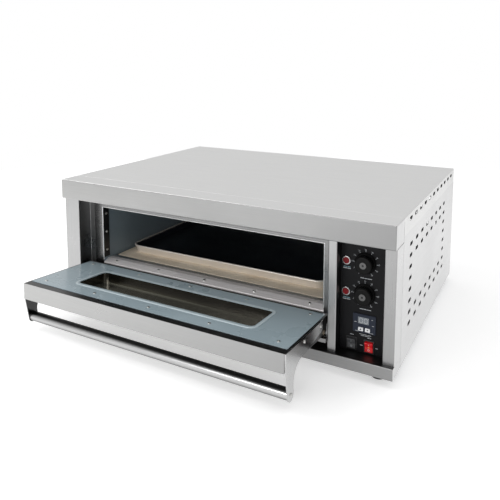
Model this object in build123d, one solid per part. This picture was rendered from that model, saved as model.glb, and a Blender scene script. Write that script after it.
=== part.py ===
"""Countertop pizza oven: one electric deck with a drop-down glazed door, in separate sheet-metal pieces.

Sizes are in millimetres. While it is built, X runs across the front (0 at the middle of the cabinet), Y runs
from the front of the header (0) to the back, and Z is the height above the worktop. Every piece is then moved
along Y so that the origin is at worktop level under the middle of the whole oven with its door open.
"""
from build123d import *
from math import atan2, cos, pi, radians, sin, tan
import os

# ------------------------------------------------------------------ driving dimensions
width = 920.0
depth = 678.0
foot_height = 18.0
base_band_height = 27.0
header_height = 52.3
total_height = 345.0
sheet = 1.2
bend = 2.0

strip_depth = 61.0          # header, posts and base band return this far along the sides
seam_gap = 0.9              # open seam between those returns and the cover and side panels behind them
post_setback = 11.0         # posts stand back from the header and the base band
post_left_width = 51.0
post_right_width = 26.0
control_width = 101.0
divider_width = 20.0
panel_setback = 38.0        # control panel face behind the header face
panel_thickness = 1.5

frame_y = 54.0              # face of the chamber's front frame
lower_panel_setback = 8.0   # the panel under the chamber stands this far behind the frame's face
frame_left_width = 28.0
frame_right_width = 25.0
frame_top_height = 25.7
opening_floor = 118.0       # the sill, the stone and the tray all meet at this height
sill_front_bottom = 104.0
sill_front_top = 110.0
sill_slope_depth = 17.0
sill_flat_depth = 14.0

rear_space = 117.8          # from the chamber's rear wall to the cabinet's back
chamber_floor_z = 72.0
chamber_ceiling_z = 290.0
stone_thickness = 14.0
stone_gap = 8.0             # from the stone to each chamber wall
stone_front = 102.0
stone_back_gap = 12.2
jamb_depth = 21.0
jamb_thickness = 2.0
rail_clearance = 1.2
lamp_right_margin = 68.0    # from the lamp's middle to the chamber's right wall
lamp_below_ceiling = 58.0
lamp_radius = 20.0
element_radius = 4.0
element_bend = 28.0
element_gap = 16.0          # above the stone's underside or below the ceiling, to the element's middle
element_loops = 3
insulation_gap = 0.4
partition_inset = 8.0       # the partition stands this far left of the control panel's edge

door_clearance = 9.0        # each side, between the door and the posts
door_height = 230.0
door_thickness = 39.5
door_bottom = 56.0
door_front_y = 12.0         # outer face of the closed door
door_rest_lift = 3.77       # the open door stops this many degrees above level
hinge_y = 18.0
hinge_z = 79.5
hinge_pin_radius = 4.0
running_clearance = 0.05
bushing_wall = 3.0

panel_inset_bottom = 9.0
panel_inset_top = 21.0
panel_inset_side = 4.0
window_width = 492.0
window_radius = 12.0
window_above_panel_edge = 48.0
window_below_panel_edge = 52.0
window_rim = 9.0
window_rim_height = 0.9
glass_thickness = 4.0
glass_gap = 6.0
glass_border = 9.0          # the skin overlaps the outer pane by this much
glass_clearance = 0.4
channel_wall = 1.0
inner_panel_thickness = 1.0
edge_screw_inset = 9.0      # bracket screws, from the door's inner face
edge_screw_rises = (52.0, 140.0)

bracket_thickness = 2.5
handle_reach = 52.0         # bar centre from the door's outer face
handle_drop = 31.0          # bar centre below the door's top edge
handle_bar_radius = 11.8
handle_bar_wall = 1.5
bracket_tip_radius = 14.0

tray_length = 600.0
tray_width = 400.0
tray_height = 22.0
tray_back_gap = 21.2        # from the tray to the chamber's rear wall
tray_sheet = 1.0
tray_flare = 12.0           # degrees that the rim leans out
tray_corner = 24.0
tray_bead_radius = 2.8
tray_lift = 0.4             # clearance that lets the tray slide over the stone and the sill

lamp_bezel_radius = 9.9
lamp_lens_radius = 7.2
knob_radius = 19.5
knob_skirt_radius = 23.0
knob_height = 20.0
knob_gap = 0.6
shaft_radius = 3.0
lamp_column = 12.0          # these four run from the left edge of the control panel
dial_column = 53.6
light_switch_column = 27.0
power_switch_column = 65.5
dial_drops = (101.0, 169.6)     # below the top of the cabinet
timer_rise = 92.2           # above the cabinet's floor, as are the two switches
light_switch_rise = 44.0
power_switch_rise = 43.0
timer_width = 50.0
timer_height = 41.0
timer_lip = 3.2             # the faceplate covers the module by this much
button_width = 11.0
button_height = 8.0
button_pitch = 15.0
button_drop = 12.5          # below the timer's middle
switch_opening = (19.5, 24.6)
switch_bezel = (24.0, 29.0)
rocker_swing = 16.0
rocker_pivot_depth = 4.0    # behind the control panel's face
rocker_half_height = 10.6
rocker_front = 9.0          # from the pivot to the rocker's tips
rocker_side_gap = 1.1
trunnion_radius = 1.5

vent_columns = 8
vent_rows = 8
vent_solid_rows = 2         # rows at the top and at the bottom that run the whole way across
vent_length = 25.0
vent_height = 8.5
top_vent_count = 11
cover_flange = 40.0

foot_radius = 18.0
foot_inset = 40.0
gland_inset = 70.0          # from the right side to the cable gland
gland_rise = 52.0           # above the cabinet's floor
gland_radius = 11.0
cable_radius = 5.5
screw_radius = 1.9
screw_head_radius = 3.6
screw_head_height = 2.2
flat_head_height = 1.2      # the inner panel's screws, which face the chamber's frame

# ------------------------------------------------------------------ sizes worked out from them
half = width / 2
band_top = foot_height + base_band_height
header_bottom = total_height - header_height
post_left_inner = -half + post_left_width
post_right_inner = half - post_right_width
divider_right = post_right_inner - control_width
divider_left = divider_right - divider_width
opening_left = post_left_inner + door_clearance * 2 - 1 + frame_left_width
opening_right = divider_left - frame_right_width
opening_top = header_bottom - frame_top_height
opening_middle = (opening_left + opening_right) / 2
chamber_back = depth - rear_space
door_left = post_left_inner + door_clearance
door_right = divider_left - door_clearance
door_middle = (door_left + door_right) / 2
door_top = door_bottom + door_height
door_back_y = door_front_y + door_thickness
window_bottom = door_bottom + panel_inset_bottom + window_above_panel_edge
window_height = door_top - panel_inset_top - window_below_panel_edge - window_bottom
stone_left = opening_left + stone_gap
stone_right = opening_right - stone_gap
stone_bottom = opening_floor - stone_thickness
cover_bottom = total_height - cover_flange
partition_x = divider_right - partition_inset
sill_end = frame_y + sill_slope_depth + sill_flat_depth
tray_front = chamber_back - tray_back_gap - tray_width
stone_back = chamber_back - stone_back_gap
top_element_z = chamber_ceiling_z - element_gap
bottom_element_z = stone_bottom - element_gap
lamp_x = opening_right - lamp_right_margin
lamp_z = chamber_ceiling_z - lamp_below_ceiling
gland_x = half - gland_inset
gland_z = foot_height + gland_rise
lamp_column_x = divider_right + lamp_column
dial_x = divider_right + dial_column
dial_heights = [total_height - drop for drop in dial_drops]
timer_x = dial_x + 0.8
timer_z = foot_height + timer_rise
light_switch = (divider_right + light_switch_column, foot_height + light_switch_rise)
power_switch = (divider_right + power_switch_column, foot_height + power_switch_rise)
button_places = [(timer_x + side * button_pitch / 2, timer_z - button_drop) for side in (-1, 1)]
rocker_pivot_y = panel_setback + rocker_pivot_depth

parts = {}


# ------------------------------------------------------------------ helpers
def block(x, y, z):
    """A box between two values on each axis."""
    size = (x[1] - x[0], y[1] - y[0], z[1] - z[0])
    return Pos((x[0] + x[1]) / 2, (y[0] + y[1]) / 2, (z[0] + z[1]) / 2) * Box(*size)


def rod(axis, centre, span, radius):
    """A cylinder along X, Y or Z. centre holds the two other coordinates, in X, Y, Z order."""
    length = span[1] - span[0]
    middle = (span[0] + span[1]) / 2
    if axis == "X":
        return Pos(middle, *centre) * Rot(0, 90, 0) * Cylinder(radius, length)
    if axis == "Y":
        return Pos(centre[0], middle, centre[1]) * Rot(90, 0, 0) * Cylinder(radius, length)
    return Pos(*centre, middle) * Cylinder(radius, length)


def soften(solid, radius, *directions):
    """Rounds the edges that run along the named axes."""
    for direction in directions:
        solid = fillet(solid.edges().filter_by(direction), radius)
    return solid


def open_box(x, y, z, wall, radius, open_side):
    """A folded pan: a box with rounded bends and one side left open ('back', 'front' or 'bottom')."""
    inner = [[x[0] + wall, x[1] - wall], [y[0] + wall, y[1] - wall], [z[0] + wall, z[1] - wall]]
    outer = block(x, y, z)
    if open_side == "back":
        inner[1][1] = y[1] + radius * 3
        outer = fillet(outer.edges() - outer.faces().sort_by(Axis.Y)[-1].edges(), radius)
    if open_side == "bottom":
        inner[2][0] = z[0] - radius * 3
        outer = fillet(outer.edges() - outer.faces().sort_by(Axis.Z)[0].edges(), radius)
    hollow = block(*inner)
    face = hollow.faces().sort_by(Axis.Y)[-1] if open_side == "back" else hollow.faces().sort_by(Axis.Z)[0]
    hollow = fillet(hollow.edges() - face.edges(), radius - wall * 0.9)
    return outer - hollow


def folded(plane, points, length, thickness=sheet, radius=bend):
    """A strip of sheet whose middle line follows points in a plane, pushed along the plane's normal."""
    line = FilletPolyline(*points, radius=radius) if len(points) > 2 else Line(*points)
    return extrude(plane * trace(line, thickness), length)


def rounded_slab(x, z, y, radius):
    """A plate facing along Y with rounded corners."""
    outline = Pos((x[0] + x[1]) / 2, y[0], (z[0] + z[1]) / 2) * Rot(-90, 0, 0)
    return extrude(outline * RectangleRounded(x[1] - x[0], z[1] - z[0], radius), y[1] - y[0])


def screw(position, direction, shank=5.0, height=screw_head_height):
    """A pan-head screw: its head stands on position and looks along direction, its shank goes in."""
    head = Pos(0, 0, height / 2) * Cylinder(screw_head_radius, height)
    head = fillet(head.edges().sort_by(Axis.Z)[-1], height * 0.7)
    driver_slot = Pos(0, 0, height) * (Box(4.2, 0.8, height * 0.65) + Box(0.8, 4.2, height * 0.65))
    body = head - driver_slot + Pos(0, 0, -shank / 2) * Cylinder(screw_radius, shank)
    return Plane(origin=position, z_dir=direction) * body


def screw_hole(position, direction, length=12.0):
    return Plane(origin=position, z_dir=direction) * Cylinder(screw_radius, length)


def spread(first, last, count):
    """Evenly spaced places from the first to the last."""
    return [first + (last - first) * i / (count - 1) for i in range(count)]


def add(name, *solids):
    parts[name] = list(solids)


# ------------------------------------------------------------------ base
def build_base():
    band = open_box((-half, half), (0, strip_depth), (foot_height, band_top), sheet, bend, "back")
    add("base_band", band)
    across = (-half + sheet, half - sheet)
    floor = block(across, (strip_depth, depth - sheet), (foot_height, foot_height + sheet))
    foot_places = [
        (sx * (half - foot_inset), y) for sx in (-1, 1) for y in (foot_inset, depth - foot_inset)
    ]
    feet = []
    for x, y in foot_places:
        foot = Pos(x, y, foot_height / 2) * Cone(foot_radius * 0.86, foot_radius, foot_height)
        foot = fillet(foot.edges().sort_by(Axis.Z)[0], 2.5)
        feet.append(foot)
    add("base_pan", floor)
    add("rubber_feet", *feet)


# ------------------------------------------------------------------ header, top cover, sides and back
def vent_slot(y, z):
    slot = Plane.YZ * Pos(y, z) * SlotOverall(vent_length, vent_height)
    return extrude(slot, width, both=True)


def vent_positions():
    """A square of slots, solid rows above and below and one column at each end between them."""
    for column, y in enumerate(spread(strip_depth + 70, depth - 152, vent_columns)):
        for row, z in enumerate(spread(foot_height + 72, header_bottom - 20.7, vent_rows)):
            edge_row = row < vent_solid_rows or row >= vent_rows - vent_solid_rows
            if edge_row or column in (0, vent_columns - 1):
                yield y, z


def build_shell():
    header = open_box((-half, half), (0, strip_depth), (header_bottom, total_height), sheet, bend, "back")
    add("header_fascia", header)

    cover_front = strip_depth + seam_gap
    cover = open_box((-half, half), (cover_front, depth), (cover_bottom, total_height), sheet, bend, "bottom")
    front_wall = block((-half, half), (cover_front, cover_front + sheet), (cover_bottom, total_height - 8))
    cover -= front_wall
    slot_z = cover_bottom + 26.5
    slots = [vent_slot(y, slot_z) for y in spread(strip_depth + 60, depth - 51, top_vent_count)]
    add("top_cover", cover - slots)

    slots = [vent_slot(y, z) for y, z in vent_positions()]
    for name, side in (("side_panel_left", -1), ("side_panel_right", 1)):
        across = sorted((side * half, side * (half - sheet)))
        panel = block(across, (cover_front, depth - sheet), (foot_height, cover_bottom))
        add(name, panel - slots)

    rear = block((-half, half), (depth - sheet, depth), (foot_height, cover_bottom))
    rear -= rod("Y", (gland_x, gland_z), (depth - 5, depth + 5), gland_radius)
    for x in spread(half - 230, half - 60, 6):
        for z in spread(foot_height + 150, foot_height + 228, 4):
            rear -= Pos(x, depth, z) * Box(vent_length, 10, vent_height)
    add("rear_panel", rear)


def build_gland():
    collar = rod("Y", (gland_x, gland_z), (depth - sheet - 7, depth - sheet), gland_radius + 5)
    neck = rod("Y", (gland_x, gland_z), (depth - sheet - 12, depth), gland_radius)
    cap = Pos(gland_x, depth, gland_z) * Rot(-90, 0, 0) * extrude(RegularPolygon(gland_radius + 5, 6), 9)
    bore = rod("Y", (gland_x, gland_z), (depth - 30, depth + 30), cable_radius)
    add("cable_gland", collar + neck + cap - bore)


# ------------------------------------------------------------------ posts and the lower front
def build_posts():
    base = Plane.XY.offset(band_top)
    rise = header_bottom - band_top
    face = post_setback + sheet / 2
    back = strip_depth
    outer = half - sheet / 2
    left = [
        (-outer, back),
        (-outer, face),
        (post_left_inner - sheet / 2, face),
        (post_left_inner - sheet / 2, frame_y - sheet / 2),
        (opening_left - frame_left_width, frame_y - sheet / 2),
    ]
    lower_y = frame_y + lower_panel_setback + sheet / 2
    start = post_left_inner
    low = (band_top, sill_front_bottom)
    door_room = block((start, opening_left), (frame_y - 3 * sheet, frame_y + sheet), low)
    deeper_return = block((start - sheet, start), (frame_y - 3 * sheet, lower_y + sheet / 2), low)
    add("front_post_left", folded(base, left, rise) - door_room + deeper_return)
    right = [
        (post_right_inner + sheet / 2, panel_setback),
        (post_right_inner + sheet / 2, face),
        (outer, face),
        (outer, back),
    ]
    add("front_post_right", folded(base, right, rise))
    divider = [
        (divider_left + sheet / 2, frame_y),
        (divider_left + sheet / 2, face),
        (divider_right - sheet / 2, face),
        (divider_right - sheet / 2, panel_setback),
    ]
    add("divider_post", folded(base, divider, rise))
    lower = [
        (lower_y - 22, band_top + sheet / 2),
        (lower_y, band_top + sheet / 2),
        (lower_y, sill_front_bottom - sheet / 2),
        (frame_y + sheet * 1.5, sill_front_bottom - sheet / 2),
    ]
    add("lower_front_panel", folded(Plane.YZ.offset(start), lower, divider_left - start))
    across = (partition_x, partition_x + sheet)
    upright = (foot_height + sheet, total_height - sheet)
    add("partition_panel", block(across, (frame_y + 12, depth - 30), upright))


# ------------------------------------------------------------------ baking chamber
def build_chamber():
    left = (opening_left - frame_left_width, opening_left)
    right = (opening_right, divider_left)
    front = (frame_y, frame_y + sheet)
    top = block((left[0], right[1]), front, (opening_top, header_bottom))
    sides = [block(x, front, (sill_front_bottom, opening_top)) for x in (left, right)]
    add("chamber_front_frame", top, *sides)

    sill_line = [
        (frame_y + sheet / 2, sill_front_bottom),
        (frame_y + sheet / 2, sill_front_top),
        (frame_y + sill_slope_depth, opening_floor - sheet / 2),
        (sill_end, opening_floor - sheet / 2),
    ]
    sill = folded(Plane.YZ.offset(opening_left), sill_line, opening_right - opening_left, radius=1.2)
    rise = opening_floor - sheet / 2 - sill_front_top
    run = sill_slope_depth - sheet / 2
    tilt = atan2(rise, run)
    sill_normal = (0, -sin(tilt), cos(tilt))
    half_sheet = (sheet / 2 * -sin(tilt), sheet / 2 * cos(tilt))
    along_slope = 0.62
    screws = []
    for x in spread(opening_left + 38, opening_right - 38, 5):
        place = (
            x,
            frame_y + sheet / 2 + run * along_slope + half_sheet[0],
            sill_front_top + rise * along_slope + half_sheet[1],
        )
        sill -= screw_hole(place, sill_normal, 6)
        screws.append(screw(place, sill_normal, 3.5))
    add("sill_plate", sill)

    jamb_front = frame_y + sheet
    jamb_z = (opening_floor + 5, opening_top - 1)
    jambs = []
    for side, x in ((1, opening_left), (-1, opening_right)):
        across = sorted((x, x + side * jamb_thickness))
        jamb = block(across, (jamb_front, jamb_front + jamb_depth), jamb_z)
        for z in spread(jamb_z[0] + 20, jamb_z[1] - 20, 3):
            place = (x + side * jamb_thickness, jamb_front + jamb_depth / 2, z)
            jamb -= screw_hole(place, (side, 0, 0), 8)
            screws.append(screw(place, (side, 0, 0), jamb_thickness))
        jambs.append(jamb)
    add("jamb_strips", *jambs)
    add("frame_screws", *screws)

    y = (frame_y + sheet, chamber_back)
    inside = (opening_left, opening_right)
    floor_z = (chamber_floor_z - sheet, chamber_floor_z)
    ceiling_z = (chamber_ceiling_z, chamber_ceiling_z + sheet)
    upright = (floor_z[0], ceiling_z[1])
    back_y = (chamber_back, chamber_back + sheet)
    behind_lower = (frame_y + lower_panel_setback + sheet, chamber_back)
    add("chamber_floor", block(inside, behind_lower, floor_z))
    add("chamber_ceiling", block(inside, y, ceiling_z))
    wall = block((inside[0] - sheet, inside[0]), y, upright)
    notch = block((-half, half), (0, behind_lower[0]), (0, sill_front_bottom))
    add("chamber_wall_left", wall - notch)
    wall = block((inside[1], inside[1] + sheet), y, upright) - notch
    for bore_y, bore_z in element_terminals():
        wall -= rod("X", (bore_y, bore_z), (inside[1] - 5, inside[1] + 5), element_radius)
    add("chamber_wall_right", wall)
    rear = block((inside[0] - sheet, inside[1] + sheet), back_y, upright)
    rear -= rod("Y", (lamp_x, lamp_z), (chamber_back - 5, chamber_back + 5), lamp_radius)
    add("chamber_rear_wall", rear)


def build_chamber_lamp():
    """The lamp that lights the chamber: a socket cup behind the rear wall with a domed glass in front."""
    cup = rod("Y", (lamp_x, lamp_z), (chamber_back, chamber_back + 34), lamp_radius)
    flange = rod("Y", (lamp_x, lamp_z), (chamber_back - 2, chamber_back), lamp_radius + 6)
    dome = Pos(lamp_x, chamber_back - 2, lamp_z) * Rot(90, 0, 0) * Cylinder(lamp_radius, 16)
    dome = fillet(dome.edges().sort_by(Axis.Y)[0], 9)
    dome &= block((0, half), (0, chamber_back - 2), (0, total_height))
    add("chamber_lamp", cup + flange, dome)


def build_stone():
    stone = block(
        (stone_left, stone_right), (stone_front, stone_back), (stone_bottom, opening_floor))
    add("pizza_stone", soften(stone, 3.0, Axis.Z))
    rails = []
    for seat, lip, lip_end in ((stone_front, -1, sill_end + 2), (stone_back, 1, chamber_back - 1)):
        edge = seat + lip * (rail_clearance + sheet / 2)
        line = [
            (lip_end, opening_floor - sheet / 2),
            (edge, opening_floor - sheet / 2),
            (edge, stone_bottom - sheet / 2),
            (edge - lip * 16, stone_bottom - sheet / 2),
        ]
        rails.append(folded(Plane.YZ.offset(opening_left), line, opening_right - opening_left, radius=1.2))
    add("stone_rails", *rails)


def element_rows():
    """The Y of the two legs of each hairpin element."""
    near_legs = spread(stone_front + 45, stone_back - 45 - 2 * element_bend, element_loops)
    return [(y, y + 2 * element_bend) for y in near_legs]


def element_terminals():
    for z in (top_element_z, bottom_element_z):
        for legs in element_rows():
            for y in legs:
                yield y, z


def build_elements():
    """Sheathed hairpin elements: both ends of each pass through the right wall to the wiring space."""
    start = opening_right + 30
    turn = opening_left + 40 + element_bend
    for name, z in (("heating_elements_top", top_element_z), ("heating_elements_bottom", bottom_element_z)):
        hairpins = []
        for near, far in element_rows():
            legs = [rod("X", (y, z), (turn, start), element_radius) for y in (near, far)]
            loop = Pos(turn, (near + far) / 2, z) * Torus(element_bend, element_radius)
            loop &= block((-half, turn), (0, depth), (0, total_height))
            hairpins.append(legs[0] + loop + legs[1])
        add(name, *hairpins)


def build_insulation():
    """Mineral-wool blankets against the outside of the chamber walls."""
    g = insulation_gap
    x_left = (-half + sheet + g, opening_left - sheet - g)
    x_right = (opening_right + sheet + g, partition_x - g)
    x_all = (x_left[0], x_right[1])
    y_side = (strip_depth + 6, chamber_back + 60)
    y_inner = (strip_depth + 6, chamber_back)
    y_rear = (chamber_back + sheet + g, chamber_back + 60)
    z_low = (foot_height + sheet + g, chamber_floor_z - sheet - g)
    z_high = (chamber_ceiling_z + sheet + g, total_height - sheet - g)
    z_mid = (z_low[1], z_high[0])
    right = block(x_right, y_inner, z_mid)
    for y, z in element_terminals():
        right -= rod("X", (y, z), (opening_right, divider_right), element_radius + 2)
    rear = block((x_left[1], x_right[1]), y_rear, z_mid)
    rear -= rod("Y", (lamp_x, lamp_z), (chamber_back, chamber_back + 70), lamp_radius + 2)
    blankets = [
        block(x_all, y_side, z_low),
        block(x_all, y_side, z_high),
        block(x_left, y_side, z_mid),
        right,
        rear,
    ]
    add("insulation_blankets", *blankets)


# ------------------------------------------------------------------ control panel
def build_control_panel():
    y = (panel_setback, panel_setback + panel_thickness)
    z = (band_top, header_bottom)
    panel = block((divider_right - sheet, post_right_inner + sheet), y, z)
    through = (y[0] - 5, y[1] + 5)
    for height in dial_heights:
        panel -= rod("Y", (lamp_column_x, height), through, lamp_lens_radius)
        panel -= rod("Y", (dial_x, height), through, shaft_radius + 1)
    panel -= Pos(timer_x, y[0], timer_z) * Box(timer_width - 6, 20, timer_height - 6)
    for x, height in (light_switch, power_switch):
        panel -= Pos(x, y[0], height) * Box(switch_bezel[0] - 3, 20, switch_bezel[1] - 3)
    add("control_panel", panel)

    bezels = []
    lenses = []
    for height in dial_heights:
        place = (lamp_column_x, height)
        ring = rod("Y", place, (y[0] - 3, y[0]), lamp_bezel_radius)
        ring = fillet(ring.edges().sort_by(Axis.Y)[0], 1.4)
        bezels.append(ring - rod("Y", place, (y[0] - 9, y[0] + 9), lamp_lens_radius))
        lens = rod("Y", place, (y[0] - 3.6, y[1] + 20), lamp_lens_radius)
        lenses.append(fillet(lens.edges().sort_by(Axis.Y)[0], 1.8))
    add("indicator_bezels", *bezels)
    add("indicator_lamps", *lenses)

    bodies = []
    for height in dial_heights:
        box = block((dial_x - 22, dial_x + 22), (y[1], y[1] + 34), (height - 17, height + 17))
        box = soften(box, 3, Axis.Y)
        bore = rod("Y", (dial_x, height), (y[1] - 1, y[1] + 22), shaft_radius + running_clearance)
        bodies.append(box - bore)
    add("thermostats", *bodies)


def build_knobs():
    """Black skirted knobs with fluted sides, and each thermostat's spindle with its bright end disc."""
    back = panel_setback - knob_gap
    front = back - knob_height
    for name, height in zip(("upper", "lower"), dial_heights):
        place = (dial_x, height)
        skirt = rod("Y", place, (back - 4, back), knob_skirt_radius)
        skirt = chamfer(skirt.edges().sort_by(Axis.Y)[0], 2.2)
        body = rod("Y", place, (front, back - 4), knob_radius)
        body = fillet(body.edges().sort_by(Axis.Y)[0], 4.5)
        for turn in range(0, 360, 15):
            flute = Pos(dial_x, 0, height) * Rot(0, turn, 0) * Pos(knob_radius + 0.7, 0, 0)
            body -= flute * rod("Y", (0, 0), (front - 1, back - 5), 1.5)
        recess = rod("Y", place, (front - 1, front + 1), 7.4)
        bore = rod("Y", place, (front - 1, back + 1), shaft_radius)
        add(f"temperature_knob_{name}", skirt + body - recess - bore)
        disc = rod("Y", place, (front + 0.1, front + 1), 7.0)
        pointer = Pos(dial_x, front, height + 3) * Box(1.2, 1.2, 6)
        stem = rod("Y", place, (front + 1, panel_setback + panel_thickness + 20), shaft_radius)
        add(f"thermostat_spindle_{name}", disc - pointer + stem)


def build_timer():
    y = panel_setback
    across = (timer_x - timer_width / 2, timer_x + timer_width / 2)
    upright = (timer_z - timer_height / 2, timer_z + timer_height / 2)
    face = rounded_slab(across, upright, (y - 2.2, y), 2.0)
    face = chamfer(face.faces().sort_by(Axis.Y)[0].edges(), 0.5)
    housing = block(
        (across[0] + timer_lip, across[1] - timer_lip),
        (y, y + 30),
        (upright[0] + timer_lip, upright[1] - timer_lip),
    )
    window = Pos(timer_x - 2, y - 2.2, timer_z + 6.5) * Box(24, 1.2, 15)
    buttons = []
    for x, z in button_places:
        well = Pos(x, y, z) * Box(button_width + 0.6, 12, button_height + 0.6)
        face -= well
        housing -= well
        cap = block(
            (x - button_width / 2, x + button_width / 2),
            (y - 3.8, y + 3),
            (z - button_height / 2, z + button_height / 2),
        )
        cap = soften(cap, 1.5, Axis.Y)
        buttons.append(chamfer(cap.faces().sort_by(Axis.Y)[0].edges(), 0.4))
    add("timer_faceplate", face - window)
    add("timer_module", housing)
    add("timer_button_up", buttons[0])
    add("timer_button_down", buttons[1])


def rocker(place):
    """A see-saw cap on two trunnions, drawn level, then tipped to its off stop."""
    x, z = place
    wide = switch_opening[0] / 2 - rocker_side_gap
    outline = Polyline(
        (rocker_pivot_y - rocker_front, z + rocker_half_height),
        (rocker_pivot_y - rocker_front + 2.0, z),
        (rocker_pivot_y - rocker_front, z - rocker_half_height),
        (rocker_pivot_y + 1, z - rocker_half_height),
        (rocker_pivot_y + 5, z - 4),
        (rocker_pivot_y + 5, z + 4),
        (rocker_pivot_y + 1, z + rocker_half_height),
        close=True,
    )
    cap = extrude(Plane.YZ.offset(x - wide) * make_face(outline), 2 * wide)
    cap = fillet(cap.edges().filter_by(Axis.X).group_by(Axis.Y)[0], 1.0)
    reach = switch_bezel[0] / 2 - 1.7
    cap += rod("X", (rocker_pivot_y, z), (x - reach, x + reach), trunnion_radius)
    return cap.rotate(Axis((x, rocker_pivot_y, z), (1, 0, 0)), rocker_swing / 2)


def build_switches():
    y = panel_setback
    housings = []
    for x, z in (light_switch, power_switch):
        bezel = rounded_slab(
            (x - switch_bezel[0] / 2, x + switch_bezel[0] / 2),
            (z - switch_bezel[1] / 2, z + switch_bezel[1] / 2),
            (y - 2, y),
            2.0,
        )
        bezel = chamfer(bezel.faces().sort_by(Axis.Y)[0].edges(), 0.7)
        body = block(
            (x - switch_bezel[0] / 2 + 1.5, x + switch_bezel[0] / 2 - 1.5),
            (y, y + 26),
            (z - switch_bezel[1] / 2 + 1.5, z + switch_bezel[1] / 2 - 1.5),
        )
        well = Pos(x, y + 3, z) * Box(switch_opening[0], 18, switch_opening[1])
        seat_x = (x - switch_bezel[0] / 2, x + switch_bezel[0] / 2)
        seat = rod("X", (rocker_pivot_y, z), seat_x, trunnion_radius + running_clearance)
        housings.append(bezel + body - well - seat)
    add("switch_housings", *housings)
    add("light_rocker", rocker(light_switch))
    add("power_rocker", rocker(power_switch))


def build_wiring():
    """The contactor and the mains terminal block on the floor and the partition of the wiring space."""
    x = partition_x + sheet
    contactor = block((x, x + 62), (250, 310), (foot_height + 60, foot_height + 142))
    step = block((x + 48, x + 80), (240, 320), (foot_height + 82, foot_height + 120))
    add("contactor", chamfer((contactor - step).edges().filter_by(Axis.Y), 1.5))
    terminals = block((x, x + 26), (depth - 190, depth - 90), (foot_height + 50, foot_height + 74))
    for y in spread(depth - 180, depth - 100, 5):
        terminals -= Pos(x + 26, y, foot_height + 62) * Box(20, 14, 12)
    add("terminal_block", terminals)


# ------------------------------------------------------------------ hinge fixed to the cabinet
def hinge_sides():
    """For each end of the door: the post's face, the door's edge and the direction from post to door."""
    return (post_left_inner, door_left, 1), (divider_left, door_right, -1)


def build_hinges():
    brackets = []
    pins = []
    pin_at = (hinge_y, hinge_z)
    open_face_z = hinge_z - (hinge_y - door_front_y) * cos(radians(door_rest_lift))
    for post, edge, inward in hinge_sides():
        plate_x = sorted((post, post + inward * 3))
        plate = block(plate_x, (post_setback + sheet + 1, 46), (hinge_z - 18, hinge_z + 22))
        plate = fillet(plate.edges().filter_by(Axis.X), 5)
        tab_x = sorted((post, post + inward * (door_clearance + 10)))
        tab = block(tab_x, (2, post_setback), (open_face_z - 9, open_face_z - 0.4))
        web = block(plate_x, (2, post_setback + 8), (open_face_z - 9, open_face_z - 0.4))
        bracket = plate + tab + web
        bracket -= rod("X", pin_at, (plate_x[0] - 5, plate_x[1] + 5), hinge_pin_radius)
        brackets.append(bracket)
        pin_x = sorted((post + inward * 0.2, edge + inward * 14))
        pins.append(rod("X", pin_at, pin_x, hinge_pin_radius))
    add("hinge_brackets", *brackets)
    add("hinge_pins", *pins)


# ------------------------------------------------------------------ door, drawn closed
def window_block(grow, y):
    """A rounded opening in line with the window, grown by the given border on every side."""
    x = (door_middle - window_width / 2 - grow, door_middle + window_width / 2 + grow)
    z = (window_bottom - grow, window_bottom + window_height + grow)
    return rounded_slab(x, z, y, window_radius + max(grow, -window_radius + 4))


def panel_screw_places():
    for z in (door_bottom + panel_inset_bottom + 18, door_top - panel_inset_top - 20):
        for x in spread(door_left + 32, door_right - 32, 5):
            yield x, door_back_y + inner_panel_thickness, z


def build_door_skin():
    x = (door_left, door_right)
    outer = block(x, (door_front_y, door_back_y), (door_bottom, door_top))
    outer = fillet(outer.edges() - outer.faces().sort_by(Axis.Y)[-1].edges(), bend)
    inner = block(
        (x[0] + sheet, x[1] - sheet),
        (door_front_y + sheet, door_back_y - sheet),
        (door_bottom + sheet, door_top - sheet),
    )
    mouth = block(
        (x[0] + 14, x[1] - 14),
        (door_front_y + sheet, door_back_y + 10),
        (door_bottom + panel_inset_bottom + 5, door_top - panel_inset_top - 5),
    )
    shell = outer - inner - mouth - window_block(-glass_border, (0, door_back_y + 10))
    shell -= rod("X", (hinge_y, hinge_z), (x[0] - 5, x[1] + 5), hinge_pin_radius + bushing_wall)
    for place in side_screw_places():
        shell -= screw_hole(place[0], place[1])
    add("door_skin", shell)

    bushings = []
    bore = rod("X", (hinge_y, hinge_z), (-half, half), hinge_pin_radius + running_clearance)
    for _, edge, inward in hinge_sides():
        tube_x = sorted((edge - inward * 2.4, edge + inward * 12))
        bushing = rod("X", (hinge_y, hinge_z), tube_x, hinge_pin_radius + bushing_wall)
        bushings.append(bushing - bore)
    add("hinge_bushings", *bushings)


def build_door_panel():
    """The enamelled inner panel, with a raised bead around the window."""
    y = (door_back_y, door_back_y + inner_panel_thickness)
    x = (door_left + panel_inset_side, door_right - panel_inset_side)
    z = (door_bottom + panel_inset_bottom, door_top - panel_inset_top)
    panel = rounded_slab(x, z, y, 2.0)
    bead = window_block(window_rim, (y[0], y[1] + window_rim_height))
    bead = fillet(bead.faces().sort_by(Axis.Y)[-1].edges(), window_rim_height * 0.95)
    panel = panel + bead - window_block(0, (y[0] - 5, y[1] + 5))
    screws = []
    for place in panel_screw_places():
        panel -= screw_hole(place, (0, 1, 0), 4)
        screws.append(screw(place, (0, 1, 0), 3.0, flat_head_height))
    add("door_inner_panel", panel)
    add("door_panel_screws", *screws)


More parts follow.
